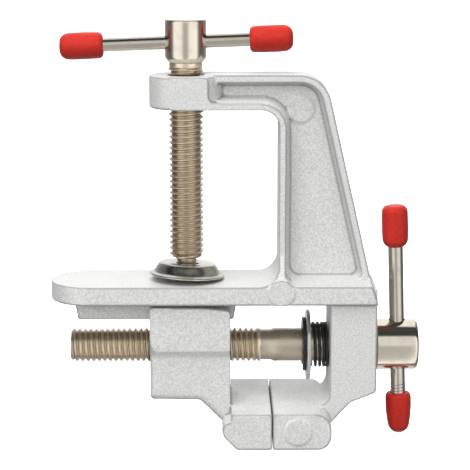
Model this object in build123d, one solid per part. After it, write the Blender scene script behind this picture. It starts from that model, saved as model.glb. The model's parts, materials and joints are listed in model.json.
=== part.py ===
from build123d import *
import math
import os

# Small clamp-on vise, in millimetres. X runs along the vise screw, Y is the depth, Z is up.
# The origin is on the plate's clamping face, on the clamp screw's axis.

# driving sizes
throat_height = 38.7        # plate face to the underside of the arm
throat_depth = 20.4         # clamp screw axis to the column's inner face
plate_thickness = 4.2
plate_half_width = 9.45
plate_left = -30.4
plate_right = 42.3
boss_radius = 8.1           # round end of the arm about the clamp screw
boss_height = 7.1
rib_half_depth = 7.3        # inner rib, lower arm rib
flange_half_depth = 4.8     # outer rib, upper arm rib
web_half_thickness = 1.6
pocket_draft = 10.5         # degrees
jaw_half_width = 14.4
jaw_height = 8.12
jaw_top = -27.5
jaw_gap = 0.22
thread_radius = 3.9         # M8 screws, at the crests
shank_radius = 3.8          # plain part of the vise screw
screw_axis_z = -15.3        # vise screw, below the plate face
screw_tip = -26.1           # left end of the vise screw
thread_end = 16.5           # right end of the vise screw's thread
leg_left = 31.9
leg_right = 42.2
leg_half_width = 8.25
vise_head_length = 9.45
vise_head_radius = 5.75
clamp_head_length = 9.2
clamp_head_radius = 4.6
spigot_radius = 2.5         # both heads are pressed on a spigot
spigot_length = 2.2
clamp_bar_radius = 1.5
vise_bar_radius = 1.68
cap_radius = 3.0
cap_length = 9.6
clamp_bar_tilt = 2.1        # degrees, right end raised
vise_bar_tilt = -2.0        # degrees, top leaning left
foot_tilt = 4.7             # degrees
foot_lean = 47.6            # direction of the foot's lowered side, degrees from +X towards +Y
foot_radius = 8.4
foot_height = 3.1
foot_wall = 0.9
foot_lift = 0.06            # lowest point of the foot above the plate
neck_radius = 2.2           # turned neck that the foot rocks on
carrier_thickness = 0.7     # rivet washer under the foot's roof
vise_bar_low = -20.8        # closed ends of the caps, along each bar from its screw's axis
vise_bar_high = 32.0
clamp_bar_low = -27.6
clamp_bar_high = 23.6
cap_wall = 1.6              # vinyl beyond the bar's end
clip_left = 26.0            # spring clip in the shank's groove
clip_thickness = 0.8
groove_radius = 3.0
washer_thickness = 0.85
washer_radius = 8.0
spring_wire = 0.34          # wire's radius
spring_radius = 4.85        # to the middle of the wire
spring_coils = 3.8
disc_radius = 2.93          # ejector pin marks
disc_height = 0.3
rail_half_width = 4.0
rail_depth = 4.35
rail_left = -25.0
rail_right = 11.2
column_slope = math.radians(13.0)
jaw_block_left = -8.2
jaw_block_right = 9.7
jaw_block_half_width = 8.4
jaw_block_bottom = -26.25
block_step = 0.9            # the block's upper half stands this proud of its lower half
column_rib = 1.45           # width of the inner rib's face
arm_rib = 1.36              # width of the lower arm rib's face

# clearances
thread_play = 0.05          # screw crest to its bore, on the radius
shank_play = 0.08           # shank to the leg's bore, on the radius
bar_play = 0.09             # handle bar to the hole in its head, on the radius
guide_play = 0.3            # rail to the slot that straddles it, each side
neck_play = 0.3             # clamp screw neck to the foot's hole, on the radius
seat_play = 0.05            # washer to spring, clip to its groove

arm_underside = throat_height
boss_top = throat_height + boss_height
arm_top = boss_top + 0.3
jaw_bottom = jaw_top - jaw_height
fixed_jaw_left = 19.0
moving_jaw_right = fixed_jaw_left - jaw_gap
head_left = leg_right + 0.3
vise_bar_x = head_left + 5.05
clamp_head_bottom = boss_top + 2.9
clamp_bar_z = clamp_head_bottom + 4.25
foot_centre_z = foot_lift + foot_radius * math.sin(math.radians(foot_tilt))
thread_bottom = foot_centre_z + foot_height + 1.4
washer_top = foot_centre_z + foot_height - foot_wall - 0.4
vise_bar_frame = Pos(vise_bar_x, 0, screw_axis_z) * Rot(0, vise_bar_tilt, 0)
clamp_bar_frame = Pos(0, 0, clamp_bar_z) * Rot(0, 90 - clamp_bar_tilt, 0)


def outline(points, corners=()):
    """Closed polygon; corners lists (nearest point, radius)."""
    face = make_face(Polyline(*points, close=True))
    for spot, radius in corners:
        nearest = face.vertices().sort_by_distance((spot[0], spot[1], 0))[0]
        face = fillet(nearest, radius)
    return face


def side_prism(face, half_depth):
    """Side outline (X, Z) given equal depth on both sides of the middle plane."""
    return extrude(Plane.XZ * face, amount=half_depth, both=True)


def rod(radius, start, end, direction):
    """Round bar between two distances along a line through the origin."""
    base = Plane(origin=Vector(*direction) * start, z_dir=direction)
    return extrude(base * Circle(radius), amount=end - start)


def turned(profile, revolve_axis=Axis.Z):
    """Solid of revolution about Z from (radius, height) points."""
    return revolve(Plane.XZ * make_face(Polyline(*profile, close=True)), axis=revolve_axis)


def end_disc(x, z, front):
    """Round ejector mark standing on a face that looks towards -Y and lies at front."""
    inside = Plane(origin=(x, front + 0.6, z), z_dir=(0, -1, 0))
    return extrude(inside * Circle(disc_radius), amount=0.6 + disc_height)


def spigot(start, play=0.0):
    """End of a screw, or the hole for it, as (height, radius) corners from start."""
    return [(start - play, 0), (start - play, spigot_radius), (start + spigot_length, spigot_radius),
            (start + spigot_length, 0)]


def plate():
    straight = Rectangle(plate_right - plate_left - plate_half_width, 2 * plate_half_width,
                         align=(Align.MAX, Align.CENTER))
    tongue = Pos(plate_right, 0) * straight
    tongue += Pos(plate_left + plate_half_width, 0) * Circle(plate_half_width)
    slab = extrude(tongue, amount=-plate_thickness)
    slab = fillet(slab.faces().sort_by(Axis.Z)[0].edges(), 0.35)
    side = outline([(plate_left, 0), (plate_right - 1.2, 0), (plate_right, -plate_thickness + 0.4),
                    (plate_right, -plate_thickness), (plate_left, -plate_thickness)])
    return slab & side_prism(side, plate_half_width)


def rail():
    middle = (rail_left + rail_right) / 2
    length = rail_right - rail_left
    draft = 1.5
    top = Plane(origin=(middle, 0, -plate_thickness + 0.2)) * Rectangle(length, 2 * rail_half_width)
    low = Plane(origin=(middle, 0, -plate_thickness - rail_depth))
    low *= Rectangle(length - draft, 2 * rail_half_width - 0.3)
    bar = loft([top, low])
    return fillet(bar.faces().sort_by(Axis.Z)[0].edges(), 0.4)


def outer_edge_x(z):
    """Outer face of the slanted column at a given height."""
    return plate_right - 1.2 - z * math.tan(column_slope)


def shoulder_height(depth):
    """Height of the plate's gentle roof, at a distance from the middle plane."""
    return (plate_half_width - depth) * math.tan(math.radians(8.0))


def pocket_outline(inset, depth):
    """Mouth of the pocket beside the web, or its floor once the drafted walls have closed in by inset."""
    proud = (rib_half_depth - flange_half_depth) * math.tan(math.radians(pocket_draft))
    left = 5.0 + inset
    low = arm_underside + arm_rib + inset
    top = arm_top - 1.7 + proud - inset
    column = throat_depth + column_rib + inset
    slanted = (1.75 + inset) / math.cos(column_slope) - proud
    right_top = outer_edge_x(top) - slanted
    bottom = shoulder_height(depth) - 0.03
    right_bottom = outer_edge_x(bottom) - slanted
    return outline(
        [(left, low), (left, top), (right_top, top), (right_bottom, bottom), (column, bottom), (column, low)],
        [((left, low), 1.6 - 0.8 * inset), ((column, low), 5.3 + inset), ((right_top, top), 5.6 - inset),
         ((right_bottom, bottom), 1.7), ((column, bottom), 2.6)])


def column_and_arm():
    throat_x = throat_depth
    inner = 3.9
    foot_round = 4.5
    web = outline(
        [(0, arm_underside), (0, arm_top - 0.8), (5.2, arm_top), (outer_edge_x(arm_top), arm_top),
         (outer_edge_x(-1), -1), (throat_x, -1), (throat_x, arm_underside)],
        [((throat_x, arm_underside), inner), ((outer_edge_x(arm_top), arm_top), 7.0)])
    core = side_prism(web, flange_half_depth)

    rib_back = throat_x + column_rib
    heel = rib_back + 3.2
    ribs = outline(
        [(0, arm_underside), (0, boss_top), (5.0, boss_top), (5.0, arm_underside + arm_rib),
         (rib_back, arm_underside + arm_rib), (rib_back, 0), (heel, 0), (heel, -1),
         (throat_x - foot_round, -1), (throat_x - foot_round, 0), (throat_x, 0), (throat_x, arm_underside)],
        [((throat_x, arm_underside), inner), ((rib_back, arm_underside + arm_rib), inner + 1.4),
         ((throat_x, 0), foot_round), ((rib_back, 0), 3.1), ((5.0, arm_underside + arm_rib), 1.6),
         ((5.0, boss_top), 0.7)])
    deep = side_prism(ribs, rib_half_depth)

    # the inner rib spreads forward to the plate's edges at its foot
    spread = side_prism(ribs, plate_half_width) & extrude(
        Plane.YZ * outline([(-plate_half_width, -1), (-plate_half_width, 1.1), (-rib_half_depth, 6.5),
                            (rib_half_depth, 6.5), (plate_half_width, 1.1), (plate_half_width, -1)]),
        amount=plate_right)

    depth = rib_half_depth - web_half_thickness
    inset = depth * math.tan(math.radians(pocket_draft))
    mouth = Plane(origin=(0, -rib_half_depth - 0.01, 0), x_dir=(1, 0, 0), z_dir=(0, -1, 0))
    floor = mouth.offset(-depth - 0.01)
    pocket = loft([mouth * pocket_outline(0, rib_half_depth),
                   floor * pocket_outline(inset, web_half_thickness)], ruled=True)

    shoulder_rise = shoulder_height(web_half_thickness)
    shoulder = extrude(
        Plane(origin=(throat_x + 0.6, 0, 0), x_dir=(0, 1, 0), z_dir=(1, 0, 0))
        * outline([(-plate_half_width, -0.2), (-plate_half_width, 0), (-web_half_thickness, shoulder_rise),
                   (web_half_thickness, shoulder_rise), (plate_half_width, 0), (plate_half_width, -0.2)]),
        amount=plate_right - throat_x - 1.8)

    solid = core + deep - pocket - mirror(pocket, about=Plane.XZ)
    return solid + spread + shoulder


def boss():
    plan = Circle(boss_radius) & Rectangle(2 * boss_radius, 2 * rib_half_depth)
    block = Pos(0, 0, arm_underside) * extrude(plan, amount=boss_height)
    ends = block.faces().sort_by(Axis.Z)
    rims = ends[0].edges().filter_by(GeomType.CIRCLE) + ends[-1].edges().filter_by(GeomType.CIRCLE)
    return fillet(rims.filter_by(lambda edge: edge.center().X < 0), 0.5)


def leg_and_fixed_jaw():
    knee = (leg_left + 4.6, jaw_top + 0.9)
    heel = (leg_right, jaw_top + 3.1)
    corner = (leg_left, jaw_top)
    side = outline(
        [(leg_left, -1), (leg_right, -1), heel, knee, (leg_left, jaw_top - 4.1),
         (leg_left - 5.9, jaw_top - 4.5), (leg_left - 7.4, jaw_top), corner],
        [(corner, 3.0), (heel, 0.8), (knee, 1.5)])
    leg = side_prism(side, leg_half_width)
    end = outline(
        [(fixed_jaw_left, jaw_top), (leg_left, jaw_top), (leg_left, jaw_bottom),
         (fixed_jaw_left, jaw_bottom)],
        [((leg_left, jaw_top), 3.4), ((leg_left, jaw_bottom), 3.0), ((fixed_jaw_left, jaw_bottom), 0.4),
         ((fixed_jaw_left, jaw_top), 0.3)])
    return leg + side_prism(end, jaw_half_width)


def frame_casting():
    casting = plate() + rail() + column_and_arm() + boss() + leg_and_fixed_jaw()
    casting += end_disc(throat_depth + 0.5, -1.35, -plate_half_width)
    casting += end_disc(24.6, jaw_top - jaw_height / 2, -jaw_half_width)
    casting += end_disc(throat_depth + 4.9, throat_height - 0.4, -web_half_thickness)
    casting -= rod(thread_radius + thread_play, arm_underside - 5, boss_top + 5, (0, 0, 1))
    bore = rod(shank_radius + shank_play, leg_left - 5, leg_right + 5, (1, 0, 0))
    return casting - Pos(0, 0, screw_axis_z) * bore


def moving_jaw():
    left, right, bottom = jaw_block_left, jaw_block_right, jaw_block_bottom
    top = -plate_thickness - 0.6
    top_right = top - 0.75
    tail_bottom = bottom - 0.2
    tail_right = left + 11.1
    side = outline(
        [(left, top), (right - 6, top - 0.1), (right, top_right), (right, jaw_top - 0.2),
         (right + 4, jaw_top - 0.2), (right + 2, jaw_top - 5.0), (right - 1.8, jaw_top - 3.9),
         (tail_right, tail_bottom), (left, bottom)],
        [((left, bottom), 0.8), ((left, top), 0.5), ((right, top_right), 0.6),
         ((tail_right, tail_bottom), 1.2)])
    block = side_prism(side, jaw_block_half_width)
    low_half = jaw_block_half_width - block_step
    crease = screw_axis_z + 0.6
    flank = crease - 1.5
    ends = outline(
        [(-jaw_block_half_width, 0), (-jaw_block_half_width, crease), (-low_half, flank),
         (-low_half, jaw_bottom), (low_half, jaw_bottom), (low_half, flank),
         (jaw_block_half_width, crease), (jaw_block_half_width, 0)],
        [((-low_half, flank), 1.2), ((low_half, flank), 1.2)])
    block &= extrude(Plane(origin=(left - 1, 0, 0), x_dir=(0, 1, 0), z_dir=(1, 0, 0)) * ends,
                     amount=right - left + 6)
    bottom_rims = [block.edges().sort_by_distance((left + 5, side_sign * low_half, bottom))[0]
                   for side_sign in (-1, 1)]
    block = fillet(bottom_rims, 1.6)
    back = right + 0.2
    bar = outline(
        [(back, jaw_top), (moving_jaw_right, jaw_top), (moving_jaw_right, jaw_bottom),
         (back + 1.2, jaw_bottom), (back - 1.7, jaw_bottom + 3.0), (back - 2.1, jaw_bottom + 4.7),
         (back - 1.5, jaw_bottom + 5.8), (back, jaw_bottom + 6.4)],
        [((moving_jaw_right, jaw_top), 0.3), ((moving_jaw_right, jaw_bottom), 0.4),
         ((back + 1.2, jaw_bottom), 1.2), ((back, jaw_bottom + 6.4), 0.5)])
    jaw = block + side_prism(bar, jaw_half_width)
    slot = Box(2 * plate_right, 2 * (rail_half_width + guide_play), 2 * (rail_depth + guide_play))
    jaw -= Pos(0, 0, -plate_thickness - 0.15) * slot
    bore = rod(thread_radius + thread_play, left - 5, right + 5, (1, 0, 0))
    return jaw - Pos(0, 0, screw_axis_z) * bore


def along_vise_axis(profile):
    """Solid of revolution about the vise screw's axis from (X, radius) points."""
    return Pos(0, 0, screw_axis_z) * turned(profile, Axis.X)


def vise_screw():
    relief = shank_radius - 0.25
    groove_start = clip_left - seat_play
    groove_end = clip_left + clip_thickness + seat_play
    return along_vise_axis(
        [(screw_tip, 0), (screw_tip, thread_radius - 0.7), (screw_tip + 0.7, thread_radius),
         (thread_end, thread_radius), (thread_end + 0.3, relief), (thread_end + 2.6, relief),
         (thread_end + 3.0, shank_radius), (groove_start, shank_radius), (groove_start, groove_radius),
         (groove_end, groove_radius), (groove_end, shank_radius), (head_left, shank_radius)]
        + spigot(head_left)[1:])


def vise_screw_head():
    radius = vise_head_radius
    right = head_left + vise_head_length
    body = along_vise_axis(
        [(head_left, 0), (head_left, radius - 0.25), (head_left + 0.25, radius), (right - 0.9, radius),
         (right - 0.25, radius - 0.3), (right, radius - 0.9), (right, 0)])
    body -= along_vise_axis(spigot(head_left, 1))
    return body - vise_bar_frame * rod(vise_bar_radius + bar_play, -20, 20, (0, 0, 1))


def retaining_clip():
    """Open spring clip, snapped into the shank's groove from below, with three lugs on the groove."""
    outer, relief, lug = 6.2, 4.5, 2.2
    ring = Circle(outer) - Circle(relief)
    tooth = Pos((groove_radius + relief) / 2, 0) * Rectangle(relief - groove_radius + 0.6, lug)
    for angle in (-90, 30, 150):
        ring += Rot(0, 0, angle) * tooth
    ring -= Circle(groove_radius + 0.02)
    ring -= Pos(0, 5.0) * Rectangle(4.4, 6.0) + Pos(0, outer) * Rectangle(2 * outer, 1.8)
    clip = extrude(ring, amount=clip_thickness)
    return Pos(clip_left, 0, screw_axis_z) * Rot(0, 90, 0) * Rot(0, 0, -90) * clip


def spindle_washer():
    left = clip_left + clip_thickness
    return along_vise_axis([(left, shank_radius + shank_play), (left, washer_radius),
                            (left + washer_thickness, washer_radius),
                            (left + washer_thickness, shank_radius + shank_play)])


def spindle_spring():
    start = clip_left + clip_thickness + washer_thickness + seat_play + spring_wire
    end = leg_left - spring_wire - 0.01
    path = Helix(pitch=(end - start) / spring_coils, height=end - start, radius=spring_radius)
    wire_plane = Plane(origin=path @ 0, z_dir=path % 0)
    coil = sweep(wire_plane * Circle(spring_wire), path=path)
    return Pos(start, 0, screw_axis_z) * Rot(0, 90, 0) * coil


def handle_bar(radius, low, high):
    """Plain rod whose ends sit inside the caps, short of their closed ends."""
    bar = rod(radius, low + cap_wall, high - cap_wall, (0, 0, 1))
    return chamfer(bar.edges().filter_by(GeomType.CIRCLE), 0.3)


def handle_cap(radius, closed_end, side, tip_round):
    """Dipped vinyl cap pressed over the rod's end; side is +1 for a cap at the upper end."""
    profile = outline(
        [(0, cap_wall), (radius, cap_wall), (radius, cap_length), (cap_radius - 0.1, cap_length),
         (cap_radius, cap_length * 0.5), (cap_radius, 0), (0, 0)],
        [((cap_radius, 0), tip_round), ((cap_radius - 0.1, cap_length), 0.8)])
    cap = revolve(Plane.XZ * profile, axis=Axis.Z)
    if side > 0:
        cap = Rot(180, 0, 0) * cap
    return Pos(0, 0, closed_end) * cap


def clamp_screw():
    rivet_bottom = washer_top - carrier_thickness - 0.5
    rivet_top = washer_top - carrier_thickness - 0.05
    collar_radius = thread_radius - 0.22
    profile = [
        (0, rivet_bottom), (neck_radius + 0.25, rivet_bottom), (neck_radius + 0.25, rivet_top),
        (neck_radius, rivet_top), (neck_radius, thread_bottom), (thread_radius - 0.6, thread_bottom),
        (thread_radius, thread_bottom + 0.6), (thread_radius, boss_top + 1.2),
        (collar_radius, boss_top + 1.7), (collar_radius, clamp_head_bottom)]
    return turned(profile + [(radius, height) for height, radius in spigot(clamp_head_bottom)[1:]])


def clamp_screw_head():
    radius = clamp_head_radius
    top = clamp_head_bottom + clamp_head_length
    body = turned(
        [(0, clamp_head_bottom), (radius - 0.7, clamp_head_bottom), (radius, clamp_head_bottom + 0.9),
         (radius, top - 0.3), (radius - 0.3, top), (0, top)])
    body -= turned([(radius, height) for height, radius in spigot(clamp_head_bottom, 1)])
    return body - clamp_bar_frame * rod(clamp_bar_radius + bar_play, -20, 20, (0, 0, 1))


def clamp_foot():
    hole = neck_radius + neck_play
    rim = foot_radius
    roof = foot_height
    under = roof - foot_wall
    cup = turned(
        [(hole, roof), (rim - 2.4, roof), (rim - 1.8, roof - 0.45), (rim - 0.75, 0.8), (rim - 0.1, 0.5),
         (rim, 0.2), (rim - 0.15, 0), (rim - 1.2, 0), (rim - 2.6, under - 0.2), (rim - 3.0, under),
         (hole, under)])
    leaning = Rot(0, 0, foot_lean) * Rot(0, foot_tilt, 0) * Rot(0, 0, -foot_lean)
    return Pos(0, 0, foot_centre_z) * leaning * cup


def foot_rivet_washer():
    outer = neck_radius + 1.7
    inner = neck_radius + 0.03
    bottom = washer_top - carrier_thickness
    return turned([(inner, bottom), (outer, bottom), (outer, washer_top), (inner, washer_top)])


parts = {
    "frame_casting": frame_casting(),
    "moving_jaw": moving_jaw(),
    "vise_screw": vise_screw(),
    "vise_screw_head": vise_screw_head(),
    "retaining_clip": retaining_clip(),
    "spindle_washer": spindle_washer(),
    "spindle_spring": spindle_spring(),
    "vise_handle_bar": vise_bar_frame * handle_bar(vise_bar_radius, vise_bar_low, vise_bar_high),
    "vise_handle_cap_upper": vise_bar_frame * handle_cap(vise_bar_radius, vise_bar_high, 1, 2.1),
    "vise_handle_cap_lower": vise_bar_frame * handle_cap(vise_bar_radius, vise_bar_low, -1, 2.6),
    "clamp_screw": clamp_screw(),
    "clamp_screw_head": clamp_screw_head(),
    "clamp_handle_bar": clamp_bar_frame * handle_bar(clamp_bar_radius, clamp_bar_low, clamp_bar_high),
    "clamp_handle_cap_left": clamp_bar_frame * handle_cap(clamp_bar_radius, clamp_bar_low, -1, 2.1),
    "clamp_handle_cap_right": clamp_bar_frame * handle_cap(clamp_bar_radius, clamp_bar_high, 1, 2.1),
    "clamp_foot": clamp_foot(),
    "foot_rivet_washer": foot_rivet_washer(),
}

os.makedirs("parts", exist_ok=True)
for name, solid in parts.items():
    export_step(solid, f"parts/{name}.step")
    box = solid.bounding_box()
    print(name, len(solid.solids()), round(solid.volume, 1), box.min, box.max)
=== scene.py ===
import bpy
import json
import math
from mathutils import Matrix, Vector


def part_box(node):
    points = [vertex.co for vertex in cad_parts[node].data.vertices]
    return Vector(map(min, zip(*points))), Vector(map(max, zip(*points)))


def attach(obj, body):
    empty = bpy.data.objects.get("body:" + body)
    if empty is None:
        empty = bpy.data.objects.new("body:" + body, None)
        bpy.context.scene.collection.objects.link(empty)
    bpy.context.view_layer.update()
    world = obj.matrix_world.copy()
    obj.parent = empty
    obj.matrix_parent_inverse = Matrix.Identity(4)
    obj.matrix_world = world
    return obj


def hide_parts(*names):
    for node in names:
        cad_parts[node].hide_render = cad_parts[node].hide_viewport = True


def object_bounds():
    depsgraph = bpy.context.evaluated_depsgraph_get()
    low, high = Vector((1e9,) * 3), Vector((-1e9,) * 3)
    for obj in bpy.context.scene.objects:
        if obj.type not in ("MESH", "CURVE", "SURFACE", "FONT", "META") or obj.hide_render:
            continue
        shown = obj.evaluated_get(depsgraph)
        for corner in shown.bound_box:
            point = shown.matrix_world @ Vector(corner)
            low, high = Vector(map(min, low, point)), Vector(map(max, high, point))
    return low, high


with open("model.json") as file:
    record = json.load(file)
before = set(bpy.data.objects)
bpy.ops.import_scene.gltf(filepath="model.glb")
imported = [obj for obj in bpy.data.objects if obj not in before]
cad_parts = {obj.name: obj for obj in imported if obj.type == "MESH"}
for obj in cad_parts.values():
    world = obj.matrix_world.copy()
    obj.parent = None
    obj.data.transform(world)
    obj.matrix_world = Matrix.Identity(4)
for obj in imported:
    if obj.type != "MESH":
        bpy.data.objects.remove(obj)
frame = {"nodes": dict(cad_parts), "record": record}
cadBox = [list(corner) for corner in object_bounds()]
joints = {joint["name"]: joint for joint in frame["record"]["behaviour"]["joints"]}
mm = 0.001
print("frame loaded")


def deselectAll():
    if bpy.context.object and bpy.context.object.mode != "OBJECT":
        bpy.ops.object.mode_set(mode="OBJECT")
    bpy.ops.object.select_all(action="DESELECT")


def makeActive(piece):
    deselectAll()
    piece.select_set(True)
    bpy.context.view_layer.objects.active = piece


def addModifier(piece, kind, **settings):
    # adds a modifier, sets it up and applies it at once
    makeActive(piece)
    modifier = piece.modifiers.new(kind.title(), kind)
    for name, value in settings.items():
        setattr(modifier, name, value)
    bpy.ops.object.modifier_apply(modifier=modifier.name)


def joinPieces(name, pieces):
    makeActive(pieces[0])
    for piece in pieces[1:]:
        piece.select_set(True)
    bpy.ops.object.join()
    pieces[0].name = name
    return pieces[0]


def smoothShade(piece, angle=35):
    makeActive(piece)
    bpy.ops.object.shade_smooth_by_angle(angle=math.radians(angle))


def placeAlong(piece, base, direction):
    # a piece built up the Z axis is laid along direction from base, and the move goes into its mesh
    makeActive(piece)
    piece.rotation_mode = "QUATERNION"
    piece.rotation_quaternion = Vector((0, 0, 1)).rotation_difference(Vector(direction))
    piece.location = base
    bpy.ops.object.transform_apply(location=True, rotation=True, scale=True)
    return piece


def turnPiece(name, stations, segments=96):
    # a lathe job: a disc is extruded from station to station, (height, radius) in millimetres
    deselectAll()
    firstHeight, firstRadius = stations[0]
    bpy.ops.mesh.primitive_circle_add(vertices=segments, radius=firstRadius * mm, fill_type="NGON",
                                      location=(0, 0, firstHeight * mm))
    piece = bpy.context.object
    piece.name = name
    bpy.ops.object.transform_apply(location=True, rotation=True, scale=True)
    bpy.ops.object.mode_set(mode="EDIT")
    bpy.ops.mesh.select_all(action="SELECT")
    height, radius = firstHeight, firstRadius
    for nextHeight, nextRadius in stations[1:]:
        lift = (0, 0, (nextHeight - height) * mm)
        bpy.ops.mesh.extrude_region_move(TRANSFORM_OT_translate={"value": lift})
        ratio = nextRadius / radius
        bpy.ops.transform.resize(value=(ratio, ratio, 1), center_override=(0, 0, nextHeight * mm))
        height, radius = nextHeight, nextRadius
    bpy.ops.mesh.select_all(action="SELECT")
    bpy.ops.mesh.normals_make_consistent(inside=False)
    bpy.ops.object.mode_set(mode="OBJECT")
    return piece


def roundedEnd(height, radius, rounding, side, steps=6):
    # stations for a rounded rim: side 1 rounds the upper end of a turned piece, -1 the lower
    stations = []
    for step in range(steps + 1):
        angle = math.radians(90 * step / steps)
        stations.append((height - side * rounding * (1 - math.sin(angle)),
                         radius - rounding * (1 - math.cos(angle))))
    return stations if side > 0 else stations[::-1]


def cutThread(name, low, high, crest, depth, pitch, runOut=0.0, tipChamfer=0.6, around=72):
    # a flat grid is rolled round the Z axis so that its rows follow the helix, then both ends are trimmed
    # each profile row: share of the pitch, share of the depth it lies below the crest
    profile = [(0.0, 1.0), (0.12, 0.96), (0.30, 0.5), (0.47, 0.08),
               (0.55, 0.0), (0.63, 0.08), (0.80, 0.5), (0.93, 0.96)]
    rowsPerTurn = len(profile)
    turns = math.ceil((high - low) / pitch) + 3
    rows = rowsPerTurn * turns
    start = low - 1.5 * pitch
    deselectAll()
    bpy.ops.mesh.primitive_grid_add(x_subdivisions=around, y_subdivisions=rows, size=2)
    piece = bpy.context.object
    piece.name = name
    for vertex in piece.data.vertices:
        column = round((vertex.co.x + 1) / 2 * around)
        row = round((vertex.co.y + 1) / 2 * rows)
        turn = row // rowsPerTurn
        fraction, sunk = profile[row % rowsPerTurn]
        angle = 2 * math.pi * column / around
        height = start + pitch * (turn + fraction + column / around)
        fade = 1.0
        if runOut:
            fade = min(1.0, max(0.0, (high - height) / runOut))
        radius = crest - depth * (sunk * fade)
        radius = min(radius, crest - tipChamfer + max(0.0, height - low))
        vertex.co = (radius * mm * math.cos(angle), radius * mm * math.sin(angle), height * mm)
    bpy.ops.object.mode_set(mode="EDIT")
    bpy.ops.mesh.select_all(action="SELECT")
    bpy.ops.mesh.remove_doubles(threshold=0.00001)
    for plane, normal in ((low, (0, 0, -1)), (high, (0, 0, 1))):
        bpy.ops.mesh.select_all(action="SELECT")
        bpy.ops.mesh.bisect(plane_co=(0, 0, plane * mm), plane_no=normal, use_fill=True, clear_outer=True)
    bpy.ops.mesh.select_all(action="SELECT")
    bpy.ops.mesh.normals_make_consistent(inside=False)
    bpy.ops.object.mode_set(mode="OBJECT")
    return piece


def drillThrough(piece, radius, centre, direction, reach=20, segments=48):
    deselectAll()
    bpy.ops.mesh.primitive_cylinder_add(vertices=segments, radius=radius * mm, depth=2 * reach * mm)
    drill = placeAlong(bpy.context.object, centre, direction)
    addModifier(piece, "BOOLEAN", operation="DIFFERENCE", object=drill, solver="EXACT")
    bpy.data.objects.remove(drill)


def markEdges(piece, spread=2):
    # stores how far each vertex stands proud of its neighbours, for a material to paint dark reflection lines
    # on rims and painted shade in creases
    mesh = piece.data
    neighbours = [[] for vertex in mesh.vertices]
    for edge in mesh.edges:
        first, second = edge.vertices
        neighbours[first].append(second)
        neighbours[second].append(first)
    places = [vertex.co for vertex in mesh.vertices]
    proud = []
    for vertex, near in zip(mesh.vertices, neighbours):
        middle = sum((places[index] for index in near), Vector()) / max(1, len(near))
        proud.append((vertex.co - middle).dot(vertex.normal) / mm)
    for blurStep in range(spread):
        proud = [(value + sum(proud[index] for index in near)) / (1 + len(near))
                 for value, near in zip(proud, neighbours)]
    mesh.attributes.new("proudness", "FLOAT", "POINT").data.foreach_set("value", proud)


def castCopy(name, node, voxel, smoothing, waviness, faceLimit):
    # the CAD solid is copied, welded and remeshed, so that its edges round over as a tumbled casting's do
    source = frame["nodes"][node]
    piece = source.copy()
    piece.data = source.data.copy()
    piece.name = name
    piece.parent = None
    bpy.context.collection.objects.link(piece)
    piece.data.materials.clear()
    makeActive(piece)
    bpy.ops.object.mode_set(mode="EDIT")
    bpy.ops.mesh.select_all(action="SELECT")
    bpy.ops.mesh.remove_doubles(threshold=0.000002)
    bpy.ops.object.mode_set(mode="OBJECT")
    addModifier(piece, "REMESH", mode="VOXEL", voxel_size=voxel * mm, use_smooth_shade=True)
    addModifier(piece, "SMOOTH", factor=0.5, iterations=smoothing)
    markEdges(piece)
    clouds = bpy.data.textures.new(name + "Waves", "CLOUDS")
    clouds.noise_scale = waviness["size"] * mm
    clouds.noise_depth = 2
    addModifier(piece, "DISPLACE", texture=clouds, texture_coords="LOCAL", mid_level=0.5,
                strength=waviness["height"] * mm)
    faceCount = 2 * len(piece.data.polygons)
    addModifier(piece, "DECIMATE", ratio=min(1.0, faceLimit / faceCount))
    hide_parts(node)
    return piece


def newGroup(name, inputs, outputs):
    group = bpy.data.node_groups.new(name, "ShaderNodeTree")
    for socketName, kind, value in inputs:
        socket = group.interface.new_socket(name=socketName, in_out="INPUT", socket_type=kind)
        if value is not None:
            socket.default_value = value
    for socketName, kind in outputs:
        group.interface.new_socket(name=socketName, in_out="OUTPUT", socket_type=kind)
    inside = group.nodes.new("NodeGroupInput")
    outside = group.nodes.new("NodeGroupOutput")
    return group, inside, outside


def addNode(tree, kind, settings=None, **values):
    node = tree.nodes.new(kind)
    for key, value in (settings or {}).items():
        setattr(node, key, value)
    for socketName, value in values.items():
        node.inputs[socketName.replace("_", " ")].default_value = value
    return node


def remap(tree, source, fromLow, fromHigh, toLow=0.0, toHigh=1.0):
    node = addNode(tree, "ShaderNodeMapRange", {"interpolation_type": "SMOOTHSTEP"})
    tree.links.new(source, node.inputs["Value"])
    limits = {"From Min": fromLow, "From Max": fromHigh, "To Min": toLow, "To Max": toHigh}
    for socketName, value in limits.items():
        node.inputs[socketName].default_value = value
    return node.outputs["Result"]


def mathNode(tree, operation, first, second):
    node = addNode(tree, "ShaderNodeMath", {"operation": operation})
    for index, value in enumerate((first, second)):
        if isinstance(value, (int, float)):
            node.inputs[index].default_value = value
        else:
            tree.links.new(value, node.inputs[index])
    return node.outputs[0]


def mixColor(tree, factor, first, second, blend="MIX"):
    node = addNode(tree, "ShaderNodeMix", {"data_type": "RGBA", "blend_type": blend})
    for socketIndex, value in ((0, factor), (6, first), (7, second)):
        if isinstance(value, (int, float, tuple)):
            node.inputs[socketIndex].default_value = value
        else:
            tree.links.new(value, node.inputs[socketIndex])
    return node.outputs[2]


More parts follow.
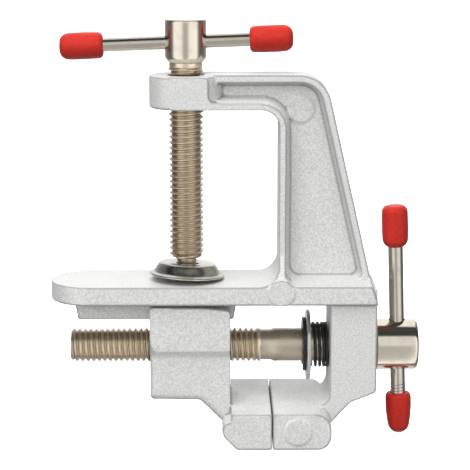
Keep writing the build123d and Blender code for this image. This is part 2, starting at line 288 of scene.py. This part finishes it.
def makeGrainGroup():
    # fine grain of two sizes with scattered pits; used by the castings and the vinyl
    group, inside, outside = newGroup(
        "surfaceGrain",
        [("Vector", "NodeSocketVector", None), ("Grain Scale", "NodeSocketFloat", 2500.0),
         ("Pit Scale", "NodeSocketFloat", 500.0), ("Pit Amount", "NodeSocketFloat", 0.3)],
        [("Height", "NodeSocketFloat"), ("Speckle", "NodeSocketFloat"), ("Patches", "NodeSocketFloat")])
    fine = addNode(group, "ShaderNodeTexNoise", Detail=3.0, Roughness=0.65)
    pits = addNode(group, "ShaderNodeTexVoronoi", {"feature": "F1"})
    patches = addNode(group, "ShaderNodeTexNoise", Detail=4.0, Roughness=0.6, Scale=160.0)
    for node in (fine, pits, patches):
        group.links.new(inside.outputs["Vector"], node.inputs["Vector"])
    group.links.new(inside.outputs["Grain Scale"], fine.inputs["Scale"])
    group.links.new(inside.outputs["Pit Scale"], pits.inputs["Scale"])
    pitMask = remap(group, pits.outputs["Distance"], 0.05, 0.38, 0.0, 1.0)
    pitPatches = remap(group, patches.outputs["Fac"], 0.46, 0.62)
    pitDepth = mathNode(group, "MULTIPLY", mathNode(group, "SUBTRACT", 1.0, pitMask), pitPatches)
    pitDepth = mathNode(group, "MULTIPLY", pitDepth, inside.outputs["Pit Amount"])
    height = mathNode(group, "SUBTRACT", fine.outputs["Fac"], pitDepth)
    group.links.new(height, outside.inputs["Height"])
    group.links.new(remap(group, fine.outputs["Fac"], 0.3, 0.7), outside.inputs["Speckle"])
    group.links.new(patches.outputs["Fac"], outside.inputs["Patches"])
    return group


def makeTurnedGroup():
    # marks of a turned piece: distance from its axis, fine rings round it and faint scratches
    group, inside, outside = newGroup(
        "turnedMarks",
        [("Vector", "NodeSocketVector", None), ("Root Radius", "NodeSocketFloat", 0.003),
         ("Crest Radius", "NodeSocketFloat", 0.0036)],
        [("Sunk", "NodeSocketFloat"), ("Rings", "NodeSocketFloat"), ("Stains", "NodeSocketFloat")])
    split = addNode(group, "ShaderNodeSeparateXYZ")
    group.links.new(inside.outputs["Vector"], split.inputs[0])
    squares = mathNode(group, "ADD", mathNode(group, "POWER", split.outputs[0], 2.0),
                       mathNode(group, "POWER", split.outputs[1], 2.0))
    distance = mathNode(group, "SQRT", squares, 0.0)
    span = addNode(group, "ShaderNodeMapRange", {"interpolation_type": "SMOOTHSTEP"})
    group.links.new(distance, span.inputs["Value"])
    group.links.new(inside.outputs["Root Radius"], span.inputs["From Min"])
    group.links.new(inside.outputs["Crest Radius"], span.inputs["From Max"])
    span.inputs["To Min"].default_value = 1.0
    span.inputs["To Max"].default_value = 0.0
    rings = addNode(group, "ShaderNodeTexNoise", {"noise_dimensions": "1D"}, Scale=9000.0, Detail=3.0)
    group.links.new(split.outputs[2], rings.inputs["W"])
    stains = addNode(group, "ShaderNodeTexNoise", Scale=420.0, Detail=4.0, Roughness=0.6)
    group.links.new(inside.outputs["Vector"], stains.inputs["Vector"])
    group.links.new(span.outputs["Result"], outside.inputs["Sunk"])
    group.links.new(rings.outputs["Fac"], outside.inputs["Rings"])
    group.links.new(stains.outputs["Fac"], outside.inputs["Stains"])
    return group


grainGroup = makeGrainGroup()
turnedGroup = makeTurnedGroup()


def newMaterial(name, **uniform):
    material = bpy.data.materials.new(name)
    material.use_nodes = True
    shader = material.node_tree.nodes["Principled BSDF"]
    for socketName, value in uniform.items():
        shader.inputs[socketName.replace("_", " ")].default_value = value
    return material, material.node_tree, shader


def placeGroup(tree, group, vector, **values):
    node = tree.nodes.new("ShaderNodeGroup")
    node.node_tree = group
    tree.links.new(vector, node.inputs["Vector"])
    for socketName, value in values.items():
        node.inputs[socketName.replace("_", " ")].default_value = value
    return node


def addBump(tree, shader, height, strength, distance):
    bump = addNode(tree, "ShaderNodeBump", Strength=strength, Distance=distance)
    tree.links.new(height, bump.inputs["Height"])
    tree.links.new(bump.outputs["Normal"], shader.inputs["Normal"])


def darker(color, share=0.62):
    return tuple(channel * share for channel in color[:3]) + (1,)


def castAluminium():
    look = {"dark": (0.53, 0.53, 0.52, 1), "light": (0.76, 0.76, 0.745, 1), "rim": (0.30, 0.30, 0.30, 1),
            "crease": (0.27, 0.27, 0.27, 1), "rimStart": 0.0062, "rimFull": 0.018}
    material, tree, shader = newMaterial("castAluminium", Metallic=0.3, Roughness=0.5)
    place = tree.nodes.new("ShaderNodeTexCoord").outputs["Object"]
    grain = placeGroup(tree, grainGroup, place, Grain_Scale=2900.0, Pit_Scale=1000.0, Pit_Amount=0.8)
    tone = mixColor(tree, grain.outputs["Speckle"], look["dark"], look["light"])
    proudness = addNode(tree, "ShaderNodeAttribute", {"attribute_name": "proudness"}).outputs["Fac"]
    # painted reflection: convex rims get thin dark lines that stand in for the dark reflection on the small
    # edge fillets
    rim = remap(tree, proudness, look["rimStart"], look["rimFull"], 0.0, 0.8)
    # painted shade: concave creases are darkened where shade falls
    crease = remap(tree, proudness, -look["rimFull"], -look["rimStart"], 0.8, 0.0)
    tone = mixColor(tree, rim, tone, look["rim"])
    tone = mixColor(tree, crease, tone, look["crease"])
    tree.links.new(tone, shader.inputs["Base Color"])
    tree.links.new(remap(tree, grain.outputs["Patches"], 0.3, 0.7, 0.42, 0.6), shader.inputs["Roughness"])
    addBump(tree, shader, grain.outputs["Height"], 0.6, 0.00006)
    return material


def nickelFinish(name, centre, axis, roughness, root=0.0, crest=0.0001, light=(0.72, 0.66, 0.56, 1),
                 paintedRootShade=(0.49, 0.41, 0.31, 1), plainFrom=None):
    # warm nickel plate; centre and axis put the pattern on the piece's own turning axis
    material, tree, shader = newMaterial(name, Metallic=1.0, Roughness=roughness)
    place = tree.nodes.new("ShaderNodeTexCoord").outputs["Object"]
    mapping = addNode(tree, "ShaderNodeMapping", {"vector_type": "TEXTURE"}, Location=centre,
                      Rotation=Vector((0, 0, 1)).rotation_difference(Vector(axis)).to_euler())
    tree.links.new(place, mapping.inputs["Vector"])
    marks = placeGroup(tree, turnedGroup, mapping.outputs["Vector"], Root_Radius=root, Crest_Radius=crest)
    stained = mixColor(tree, remap(tree, marks.outputs["Stains"], 0.42, 0.7, 0.0, 0.22), light, darker(light))
    # painted shade: the thread roots are mixed towards a darker colour, standing in for the occlusion in the
    # grooves
    tone = mixColor(tree, marks.outputs["Sunk"], stained, paintedRootShade)
    if plainFrom is not None:
        # past the end of the thread the plain shank is a shade darker
        split = addNode(tree, "ShaderNodeSeparateXYZ")
        tree.links.new(mapping.outputs["Vector"], split.inputs[0])
        plain = remap(tree, split.outputs[2], plainFrom, plainFrom + 0.0004)
        tone = mixColor(tree, plain, tone, darker(light))
    tree.links.new(tone, shader.inputs["Base Color"])
    tree.links.new(remap(tree, marks.outputs["Stains"], 0.3, 0.7, roughness * 0.8, roughness * 1.3),
                   shader.inputs["Roughness"])
    addBump(tree, shader, marks.outputs["Rings"], 0.12, 0.00001)
    return material


def redVinyl():
    material, tree, shader = newMaterial("redVinyl", Roughness=0.42, Specular_IOR_Level=0.28)
    place = tree.nodes.new("ShaderNodeTexCoord").outputs["Object"]
    grain = placeGroup(tree, grainGroup, place, Grain_Scale=2600.0, Pit_Scale=1500.0, Pit_Amount=0.2)
    tone = mixColor(tree, grain.outputs["Speckle"], (0.42, 0.012, 0.007, 1), (0.51, 0.023, 0.011, 1))
    tree.links.new(tone, shader.inputs["Base Color"])
    tree.links.new(remap(tree, grain.outputs["Patches"], 0.3, 0.7, 0.34, 0.5), shader.inputs["Roughness"])
    addBump(tree, shader, grain.outputs["Height"], 0.4, 0.00006)
    return material


def blackSteel():
    material, tree, shader = newMaterial("blackSteel", Metallic=0.6, Roughness=0.35)
    place = tree.nodes.new("ShaderNodeTexCoord").outputs["Object"]
    grain = placeGroup(tree, grainGroup, place, Grain_Scale=3000.0, Pit_Scale=1200.0, Pit_Amount=0.2)
    tone = mixColor(tree, grain.outputs["Speckle"], (0.012, 0.012, 0.013, 1), (0.045, 0.043, 0.042, 1))
    tree.links.new(tone, shader.inputs["Base Color"])
    addBump(tree, shader, grain.outputs["Height"], 0.3, 0.00003)
    return material


def finishPiece(piece, material, body):
    piece.data.materials.clear()
    piece.data.materials.append(material)
    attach(piece, body)


aluminium = castAluminium()
castSettings = {"voxel": 0.22, "smoothing": 2, "waviness": {"size": 2.2, "height": 0.05},
                "faceLimit": 170000}
frameCast = castCopy("frameCast", "frame_casting", **castSettings)
finishPiece(frameCast, aluminium, "frame")
jawCast = castCopy("jawCast", "moving_jaw", **castSettings)
finishPiece(jawCast, aluminium, "jaw")
print("castings done", len(frameCast.data.polygons), len(jawCast.data.polygons))


viseLine = joints["vise_screw_turn"]["pos_m"]
screwSteel = {"roughness": 0.3, "root": 0.0032, "crest": 0.0038, "light": (0.84, 0.74, 0.59, 1)}
viseSize = {"crest": 3.88, "depth": 0.66, "pitch": 1.25, "shank": 3.78, "neck": 3.55, "groove": 3.0,
            "threadEnd": 16.5, "runOut": 1.2, "barHole": 1.84}
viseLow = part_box("vise_screw")[0]
clipLow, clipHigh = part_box("retaining_clip")
headLow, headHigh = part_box("vise_screw_head")


def makeViseScrew():
    base = viseLow[0] / mm
    threadEnd = viseSize["threadEnd"] - base
    clipStart, clipEnd = clipLow[0] / mm - base, clipHigh[0] / mm - base
    headStart = headLow[0] / mm - base
    size = viseSize
    thread = cutThread("viseThread", 0, threadEnd, size["crest"], size["depth"], size["pitch"],
                       runOut=size["runOut"])
    shank = turnPiece("viseShank", [
        (threadEnd - 0.2, size["neck"] - 0.1), (threadEnd + 2.4, size["neck"] - 0.05),
        (threadEnd + 3.0, size["shank"]), (threadEnd + 6.0, size["shank"]),
        (clipStart - 0.1, size["shank"]), (clipStart - 0.05, size["groove"]),
        (clipEnd + 0.05, size["groove"]), (clipEnd + 0.1, size["shank"]),
        (headStart - 0.02, size["shank"])])
    smoothShade(thread, 30)
    smoothShade(shank, 30)
    screw = joinPieces("viseScrew", [thread, shank])
    placeAlong(screw, (viseLow[0], viseLine[1], viseLine[2]), (1, 0, 0))
    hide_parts("vise_screw")
    finish = nickelFinish("viseScrewNickel", viseLine, (1, 0, 0), plainFrom=size["threadEnd"] * mm,
                          **screwSteel)
    finishPiece(screw, finish, "spindle")


def makeViseHead():
    length = (headHigh[0] - headLow[0]) / mm
    radius = (headHigh[2] - headLow[2]) / 2 / mm
    body = [(0, radius - 0.25), (0.25, radius)]
    body += [(length * step / 8, radius) for step in range(1, 7)]
    body += roundedEnd(length, radius, 0.9, 1)
    body += [(length, radius - 1.8), (length, radius * 0.5)]
    head = turnPiece("viseHead", body)
    placeAlong(head, (headLow[0], viseLine[1], viseLine[2]), (1, 0, 0))
    slide = joints["vise_handle_slide"]["axis"]
    barLow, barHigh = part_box("vise_handle_bar")
    middle = [(low + high) / 2 for low, high in zip(barLow, barHigh)]
    drillThrough(head, viseSize["barHole"], middle, slide, reach=40)
    smoothShade(head, 30)
    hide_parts("vise_screw_head")
    finish = nickelFinish("viseHeadNickel", viseLine, (1, 0, 0), 0.12)
    finishPiece(head, finish, "spindle")


makeViseScrew()
makeViseHead()
print("vise screw done")


clampSize = {"crest": 3.88, "depth": 0.66, "pitch": 1.25, "collar": 3.66, "threadAbove": 3.88, "neck": 2.15,
             "collarLength": 1.4, "runOut": 0.8, "barHole": 1.59}
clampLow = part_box("clamp_screw")[0]
clampHeadLow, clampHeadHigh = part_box("clamp_screw_head")


def makeClampScrew():
    size = clampSize
    tip = clampLow[2] / mm
    threadStart = tip + size["threadAbove"]
    headBottom = clampHeadLow[2] / mm
    threadEnd = headBottom - size["collarLength"]
    thread = cutThread("clampThread", threadStart, threadEnd, size["crest"], size["depth"], size["pitch"],
                       runOut=size["runOut"])
    neck = turnPiece("clampNeck", [
        (tip, size["neck"] + 0.2), (tip + 0.35, size["neck"] + 0.3), (tip + 0.42, size["neck"]),
        (threadStart - 0.3, size["neck"]), (threadStart + 0.2, size["neck"] + 0.45)])
    collar = turnPiece("clampCollar", [
        (threadEnd - 0.3, 3.2), (threadEnd, size["collar"] - 0.1), (threadEnd + 0.2, size["collar"]),
        (headBottom - 0.25, size["collar"]), (headBottom, size["collar"] - 0.15)])
    for piece in (thread, neck, collar):
        smoothShade(piece, 30)
    screw = joinPieces("clampScrew", [thread, neck, collar])
    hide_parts("clamp_screw")
    finish = nickelFinish("clampScrewNickel", (0, 0, 0), (0, 0, 1), **screwSteel)
    finishPiece(screw, finish, "clamp_spindle")


def makeClampHead():
    bottom, top = clampHeadLow[2] / mm, clampHeadHigh[2] / mm
    radius = (clampHeadHigh[0] - clampHeadLow[0]) / 2 / mm
    body = [(bottom, radius - 0.7), (bottom + 0.3, radius - 0.45), (bottom + 0.9, radius - 0.05)]
    body += [(bottom + 1.2 + (top - bottom - 2.0) * step / 6, radius) for step in range(7)]
    body += roundedEnd(top, radius, 0.35, 1, 4)
    body += [(top, radius - 1.2), (top, radius * 0.5)]
    head = turnPiece("clampHead", body)
    slide = joints["clamp_handle_slide"]["axis"]
    barLow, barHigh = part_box("clamp_handle_bar")
    middle = [(low + high) / 2 for low, high in zip(barLow, barHigh)]
    drillThrough(head, clampSize["barHole"], middle, slide, reach=40)
    smoothShade(head, 30)
    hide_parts("clamp_screw_head")
    finish = nickelFinish("clampHeadNickel", (0, 0, 0), (0, 0, 1), 0.12)
    finishPiece(head, finish, "clamp_spindle")


footSize = {"radius": 8.37, "height": 3.1, "wall": 0.8, "neckHole": 2.55}


def makeFoot():
    # a pressed cup: the outside goes up from the rolled rim, then the inside comes back down
    pivot = joints["foot_tilt"]["pos_m"]
    hinge = Vector(joints["foot_tilt"]["axis"])
    tilt = math.radians(-joints["foot_tilt"]["range_deg"][0] / 2)
    radius, height, neckHole = footSize["radius"], footSize["height"], footSize["neckHole"]
    roof = height - footSize["wall"]
    cup = turnPiece("clampFoot", [
        (roof, neckHole), (roof, 5.0), (roof - 0.15, 5.6), (roof - 0.6, 6.05),
        (0.35, 6.9), (0.05, 7.3), (0.0, 7.8), (0.05, radius - 0.12), (0.2, radius), (0.45, radius - 0.05),
        (0.6, radius - 0.35), (0.8, radius - 0.8), (1.3, radius - 1.15), (height - 0.75, radius - 1.75),
        (height - 0.35, radius - 2.0), (height - 0.1, radius - 2.4), (height, radius - 3.0),
        (height, neckHole)],
        segments=128)
    # the two end discs are bridged into the hole the neck passes through
    makeActive(cup)
    bpy.ops.object.mode_set(mode="EDIT")
    bpy.ops.mesh.select_all(action="DESELECT")
    bpy.ops.object.mode_set(mode="OBJECT")
    caps = [face for face in cup.data.polygons if len(face.vertices) > 4]
    for face in caps:
        face.select = True
    bpy.ops.object.mode_set(mode="EDIT")
    bpy.ops.mesh.select_mode(type="FACE")
    bpy.ops.mesh.bridge_edge_loops()
    bpy.ops.mesh.select_all(action="SELECT")
    bpy.ops.mesh.normals_make_consistent(inside=False)
    bpy.ops.object.mode_set(mode="OBJECT")
    addModifier(cup, "SUBSURF", levels=1, render_levels=1)
    upright = (hinge.y * math.sin(tilt), -hinge.x * math.sin(tilt), math.cos(tilt))
    placeAlong(cup, pivot, upright)
    smoothShade(cup, 45)
    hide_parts("clamp_foot")
    finish = nickelFinish("footSteel", pivot, upright, 0.24, light=(0.56, 0.54, 0.50, 1))
    finishPiece(cup, finish, "foot")


makeClampScrew()
makeClampHead()
makeFoot()
print("clamp screw done")


vinyl = redVinyl()
capSize = {"length": 9.6, "radius": 2.98}
lumpSize = {"size": 1.6, "height": 0.12}
barRadius = {"vise": 1.68, "clamp": 1.5}
barThread = {"start": 8.0, "pitch": 0.7, "depth": 0.3, "proud": 0.06}


def makeCap(name, node, body, direction, roundTip, roundMouth, rimRadius, taper=0.0, shortened=0.0):
    low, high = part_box(node)
    axis = Vector(direction)
    centre = (Vector(low) + Vector(high)) / 2
    radius, length = capSize["radius"], capSize["length"] - shortened
    stations = [(0, rimRadius)] + roundedEnd(0, radius - 0.06, roundMouth, -1)
    stations += [(length * 0.3, radius), (length * 0.5, radius - taper * 0.3),
                 (length * 0.65, radius - taper * 0.7)]
    stations += roundedEnd(length, radius - 0.05 - taper, roundTip, 1, 8)
    cap = turnPiece(name, stations, segments=64)
    placeAlong(cap, centre + axis * (shortened - capSize["length"] / 2) * mm, direction)
    addModifier(cap, "SUBSURF", levels=1, render_levels=1)
    lumps = bpy.data.textures.new(name + "Lumps", "CLOUDS")
    lumps.noise_scale = lumpSize["size"] * mm
    addModifier(cap, "DISPLACE", texture=lumps, texture_coords="LOCAL", mid_level=0.7,
                strength=lumpSize["height"] * mm)
    smoothShade(cap, 50)
    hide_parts(node)
    finishPiece(cap, vinyl, body)


def makeBar(name, node, body, direction, radius, threadTurns=0):
    low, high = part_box(node)
    axis = Vector(direction)
    centre = (Vector(low) + Vector(high)) / 2
    tall = max(h - l for l, h in zip(low, high)) / mm
    rings = 24
    stations = [(0, radius - 0.3)] + [(0.3 + (tall - 0.6) * step / rings, radius) for step in range(rings + 1)]
    stations += [(tall, radius - 0.3)]
    bar = turnPiece(name, stations, segments=48)
    smoothShade(bar, 30)
    pieces = [bar]
    if threadTurns:
        start, pitch = barThread["start"], barThread["pitch"]
        thread = cutThread(name + "Thread", start, start + threadTurns * pitch,
                           radius + barThread["proud"], barThread["depth"], pitch, around=48, tipChamfer=0.1)
        smoothShade(thread, 40)
        pieces.append(thread)
    bar = joinPieces(name, pieces)
    placeAlong(bar, centre - axis * tall / 2 * mm, direction)
    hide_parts(node)
    finish = nickelFinish(name + "Nickel", centre, direction, 0.2, light=(0.55, 0.51, 0.443, 1))
    finishPiece(bar, finish, body)


viseSlide = joints["vise_handle_slide"]["axis"]
viseSlideBack = [-part for part in viseSlide]
clampSlide = joints["clamp_handle_slide"]["axis"]
clampSlideBack = [-part for part in clampSlide]
makeBar("viseBar", "vise_handle_bar", "vise_handle", viseSlide, barRadius["vise"], threadTurns=3)
makeBar("clampBar", "clamp_handle_bar", "clamp_handle", clampSlide, barRadius["clamp"])
makeCap("viseCapUpper", "vise_handle_cap_upper", "vise_handle", viseSlide, 1.4, 1.9, 1.05)
# the lower cap stops just short of the head when the bar slides up
makeCap("viseCapLower", "vise_handle_cap_lower", "vise_handle", viseSlideBack, 2.3, 0.9, 1.7, taper=0.45,
        shortened=0.15)
makeCap("clampCapRight", "clamp_handle_cap_right", "clamp_handle", clampSlide, 2.0, 1.1, 1.5)
makeCap("clampCapLeft", "clamp_handle_cap_left", "clamp_handle", clampSlideBack, 2.0, 1.1, 1.5)
print("bars and caps done")


black = blackSteel()


def makeWasher():
    low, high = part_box("spindle_washer")
    thickness = (high[0] - low[0]) / mm
    radius = (high[2] - low[2]) / 2 / mm
    washer = turnPiece("spindleWasher", [
        (0, 3.7), (0, radius - 0.3), (0.12, radius - 0.08), (thickness / 2, radius),
        (thickness - 0.15, radius - 0.04),
        (thickness, radius - 0.2), (thickness, 3.7)], segments=128)
    drillThrough(washer, 3.68, (0, 0, 0), (0, 0, 1), reach=5, segments=96)
    placeAlong(washer, (low[0], viseLine[1], viseLine[2]), (1, 0, 0))
    smoothShade(washer, 30)
    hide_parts("spindle_washer")
    finish = nickelFinish("washerSteel", viseLine, (1, 0, 0), 0.28, light=(0.62, 0.62, 0.61, 1))
    finishPiece(washer, finish, "spindle")


springSize = {"wire": 0.33, "coils": 4.0, "radius": 4.85, "closedTurns": 1.3, "closedPitch": 2.04}


def makeSpring():
    # a helix with one open coil after another and closed coils at the leg
    low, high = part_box("spindle_spring")
    wire, coils, radius = springSize["wire"], springSize["coils"], springSize["radius"]
    left, right = low[0] / mm + wire, high[0] / mm - wire
    steps = 48
    deselectAll()
    bpy.ops.curve.primitive_nurbs_path_add()
    path = bpy.context.object
    path.name = "spindleSpring"
    path.data.splines.clear()
    spline = path.data.splines.new("POLY")
    count = int(coils * steps)
    spline.points.add(count)
    closedTurns, closedPitch = springSize["closedTurns"], springSize["closedPitch"]
    closed = closedTurns * closedPitch * wire
    openTurns = coils - closedTurns
    for index in range(count + 1):
        turn = index / steps
        if turn <= openTurns:
            along = (right - left - closed) * turn / openTurns
        else:
            along = (right - left - closed) + (turn - openTurns) * closedPitch * wire
        angle = 2 * math.pi * turn
        spline.points[index].co = (radius * math.cos(angle) * mm, radius * math.sin(angle) * mm,
                                   along * mm, 1)
    path.data.dimensions = "3D"
    path.data.bevel_depth = wire * mm
    path.data.bevel_resolution = 3
    path.data.use_fill_caps = True
    makeActive(path)
    bpy.ops.object.convert(target="MESH")
    spring = bpy.context.object
    placeAlong(spring, (left * mm, viseLine[1], viseLine[2]), (1, 0, 0))
    smoothShade(spring, 60)
    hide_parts("spindle_spring")
    finishPiece(spring, black, "frame")


makeWasher()
makeSpring()
frame["nodes"]["retaining_clip"].data.materials.clear()
frame["nodes"]["retaining_clip"].data.materials.append(black)
rivetSteel = nickelFinish("rivetSteel", (0, 0, 0), (0, 0, 1), 0.3, light=(0.55, 0.54, 0.52, 1))
frame["nodes"]["foot_rivet_washer"].data.materials.clear()
frame["nodes"]["foot_rivet_washer"].data.materials.append(rivetSteel)
print("spring stack done")


studio = {"world": 0.8, "topLight": 7.0, "topPlace": (-0.12, -0.3, 0.9), "frontLight": 4.15,
          "frontPlace": (-0.3, -0.8, 0.5), "target": (0.01, 0, 0), "domeRadius": 2.0, "floorSize": 8.0,
          "floorGlow": 0.9, "tableColor": (0.18, 0.18, 0.18, 1)}


def makeFloor():
    # the camera sees only the white floor, and the light from below meets only the dim table
    deselectAll()
    lowest = cadBox[0][2]
    bpy.ops.mesh.primitive_plane_add(size=studio["floorSize"], location=(0, 0, lowest - 0.02 * mm))
    floor = bpy.context.object
    floor.name = "paleFloor"
    paper = newMaterial("palePaper", Roughness=0.9, Base_Color=(0.93, 0.93, 0.93, 1),
                        Emission_Color=(1, 1, 1, 1), Emission_Strength=studio["floorGlow"])[0]
    floor.data.materials.append(paper)
    floor.visible_glossy = False
    floor.visible_diffuse = False
    floor.visible_shadow = False
    deselectAll()
    bpy.ops.mesh.primitive_plane_add(size=studio["floorSize"], location=(0, 0, lowest - 3 * mm))
    table = bpy.context.object
    table.name = "dimTable"
    table.data.materials.append(newMaterial("dimPaper", Roughness=0.9, Base_Color=studio["tableColor"])[0])
    table.visible_camera = False
    table.visible_glossy = False


def makeWorld():
    world = bpy.data.worlds.new("studioAir")
    bpy.context.scene.world = world
    world.use_nodes = True
    background = world.node_tree.nodes["Background"]
    background.inputs["Color"].default_value = (1, 1, 1, 1)
    background.inputs["Strength"].default_value = studio["world"]


def makeReflectionDome():
    # softboxes and dark gaps that only mirror reflections see
    deselectAll()
    bpy.ops.mesh.primitive_uv_sphere_add(segments=48, ring_count=24, radius=studio["domeRadius"],
                                         location=studio["target"])
    dome = bpy.context.object
    dome.name = "reflectionDome"
    material = bpy.data.materials.new("softboxes")
    material.use_nodes = True
    tree = material.node_tree
    tree.nodes.clear()
    place = tree.nodes.new("ShaderNodeTexCoord").outputs["Object"]
    split = addNode(tree, "ShaderNodeSeparateXYZ")
    direction = addNode(tree, "ShaderNodeVectorMath", {"operation": "NORMALIZE"})
    tree.links.new(place, direction.inputs[0])
    tree.links.new(direction.outputs[0], split.inputs[0])
    level = mathNode(tree, "SQRT", mathNode(tree, "ADD", mathNode(tree, "POWER", split.outputs[0], 2.0),
                                            mathNode(tree, "POWER", split.outputs[1], 2.0)), 0.0)
    sideways = mathNode(tree, "ABSOLUTE", mathNode(tree, "DIVIDE", split.outputs[0], level), 0.0)

    def ramp(source, stops):
        node = tree.nodes.new("ShaderNodeValToRGB")
        tree.links.new(source, node.inputs["Fac"])
        for index, (position, value) in enumerate(stops):
            elements = node.color_ramp.elements
            element = elements[index] if index < 2 else elements.new(position)
            element.position = position
            element.color = (value, value, value, 1)
        return node.outputs["Color"]

    front = ramp(sideways,
                 [(0.0, 0.42), (1.0, 0.12), (0.16, 0.5), (0.42, 0.95), (0.90, 1.0), (0.975, 0.26)])
    back = ramp(sideways, [(0.0, 0.8), (1.0, 0.12), (0.45, 0.55), (0.70, 0.25), (0.94, 0.15)])
    facing = remap(tree, split.outputs[1], -0.1, 0.1)
    around = mixColor(tree, facing, front, back)
    centred = remap(tree, mathNode(tree, "ABSOLUTE", split.outputs[0], 0.0), 0.3, 0.55, 1.0, 0.0)
    lift = mathNode(tree, "MULTIPLY", remap(tree, split.outputs[2], -0.02, 0.18), centred)
    upper = mixColor(tree, facing, (0.74, 0.74, 0.74, 1), (0.95, 0.95, 0.95, 1))
    around = mixColor(tree, lift, around, upper, "LIGHTEN")
    towardsFront = mathNode(tree, "MULTIPLY", split.outputs[1], -1.0)
    tilt = mathNode(tree, "ARCTAN2", split.outputs[2], towardsFront)
    overhead = ramp(mathNode(tree, "DIVIDE", tilt, math.pi),
                    [(0.0, 1.0), (1.0, 1.0), (0.25, 1.0), (0.29, 0.06), (0.53, 0.06), (0.57, 1.0)])
    pattern = mixColor(tree, 1.0, around, overhead, "MULTIPLY")
    glow = addNode(tree, "ShaderNodeEmission", Strength=1.3)
    tree.links.new(pattern, glow.inputs["Color"])
    output = tree.nodes.new("ShaderNodeOutputMaterial")
    tree.links.new(glow.outputs[0], output.inputs["Surface"])
    dome.data.materials.append(material)
    dome.visible_camera = False
    dome.visible_diffuse = False
    dome.visible_shadow = False
    dome.visible_transmission = False


def addAreaLight(name, energy, size, location, target):
    deselectAll()
    bpy.ops.object.light_add(type="AREA", location=location)
    light = bpy.context.object
    light.name = name
    light.data.energy = energy
    light.data.size = size
    aim = Vector(target) - Vector(location)
    light.rotation_mode = "QUATERNION"
    light.rotation_quaternion = Vector((0, 0, -1)).rotation_difference(aim)
    light.visible_glossy = False


def makeCamera():
    view = {"place": (6.99, -364.0, 82.0), "turn": 0.6, "down": 11.2, "lens": 127.15}
    turn, down = math.radians(view["turn"]), math.radians(view["down"])
    deselectAll()
    bpy.ops.object.camera_add(location=[part * mm for part in view["place"]])
    camera = bpy.context.object
    camera.rotation_euler = (math.pi / 2 - down, 0, -turn)
    camera.data.lens = view["lens"]
    camera.data.sensor_width = 36
    camera.data.clip_start = 0.01
    bpy.context.scene.camera = camera


makeFloor()
makeWorld()
makeReflectionDome()
addAreaLight("topLight", studio["topLight"], 0.5, studio["topPlace"], studio["target"])
addAreaLight("frontLight", studio["frontLight"], 0.6, studio["frontPlace"], studio["target"])
makeCamera()
bpy.context.scene.view_settings.view_transform = "Standard"

print("stage done")
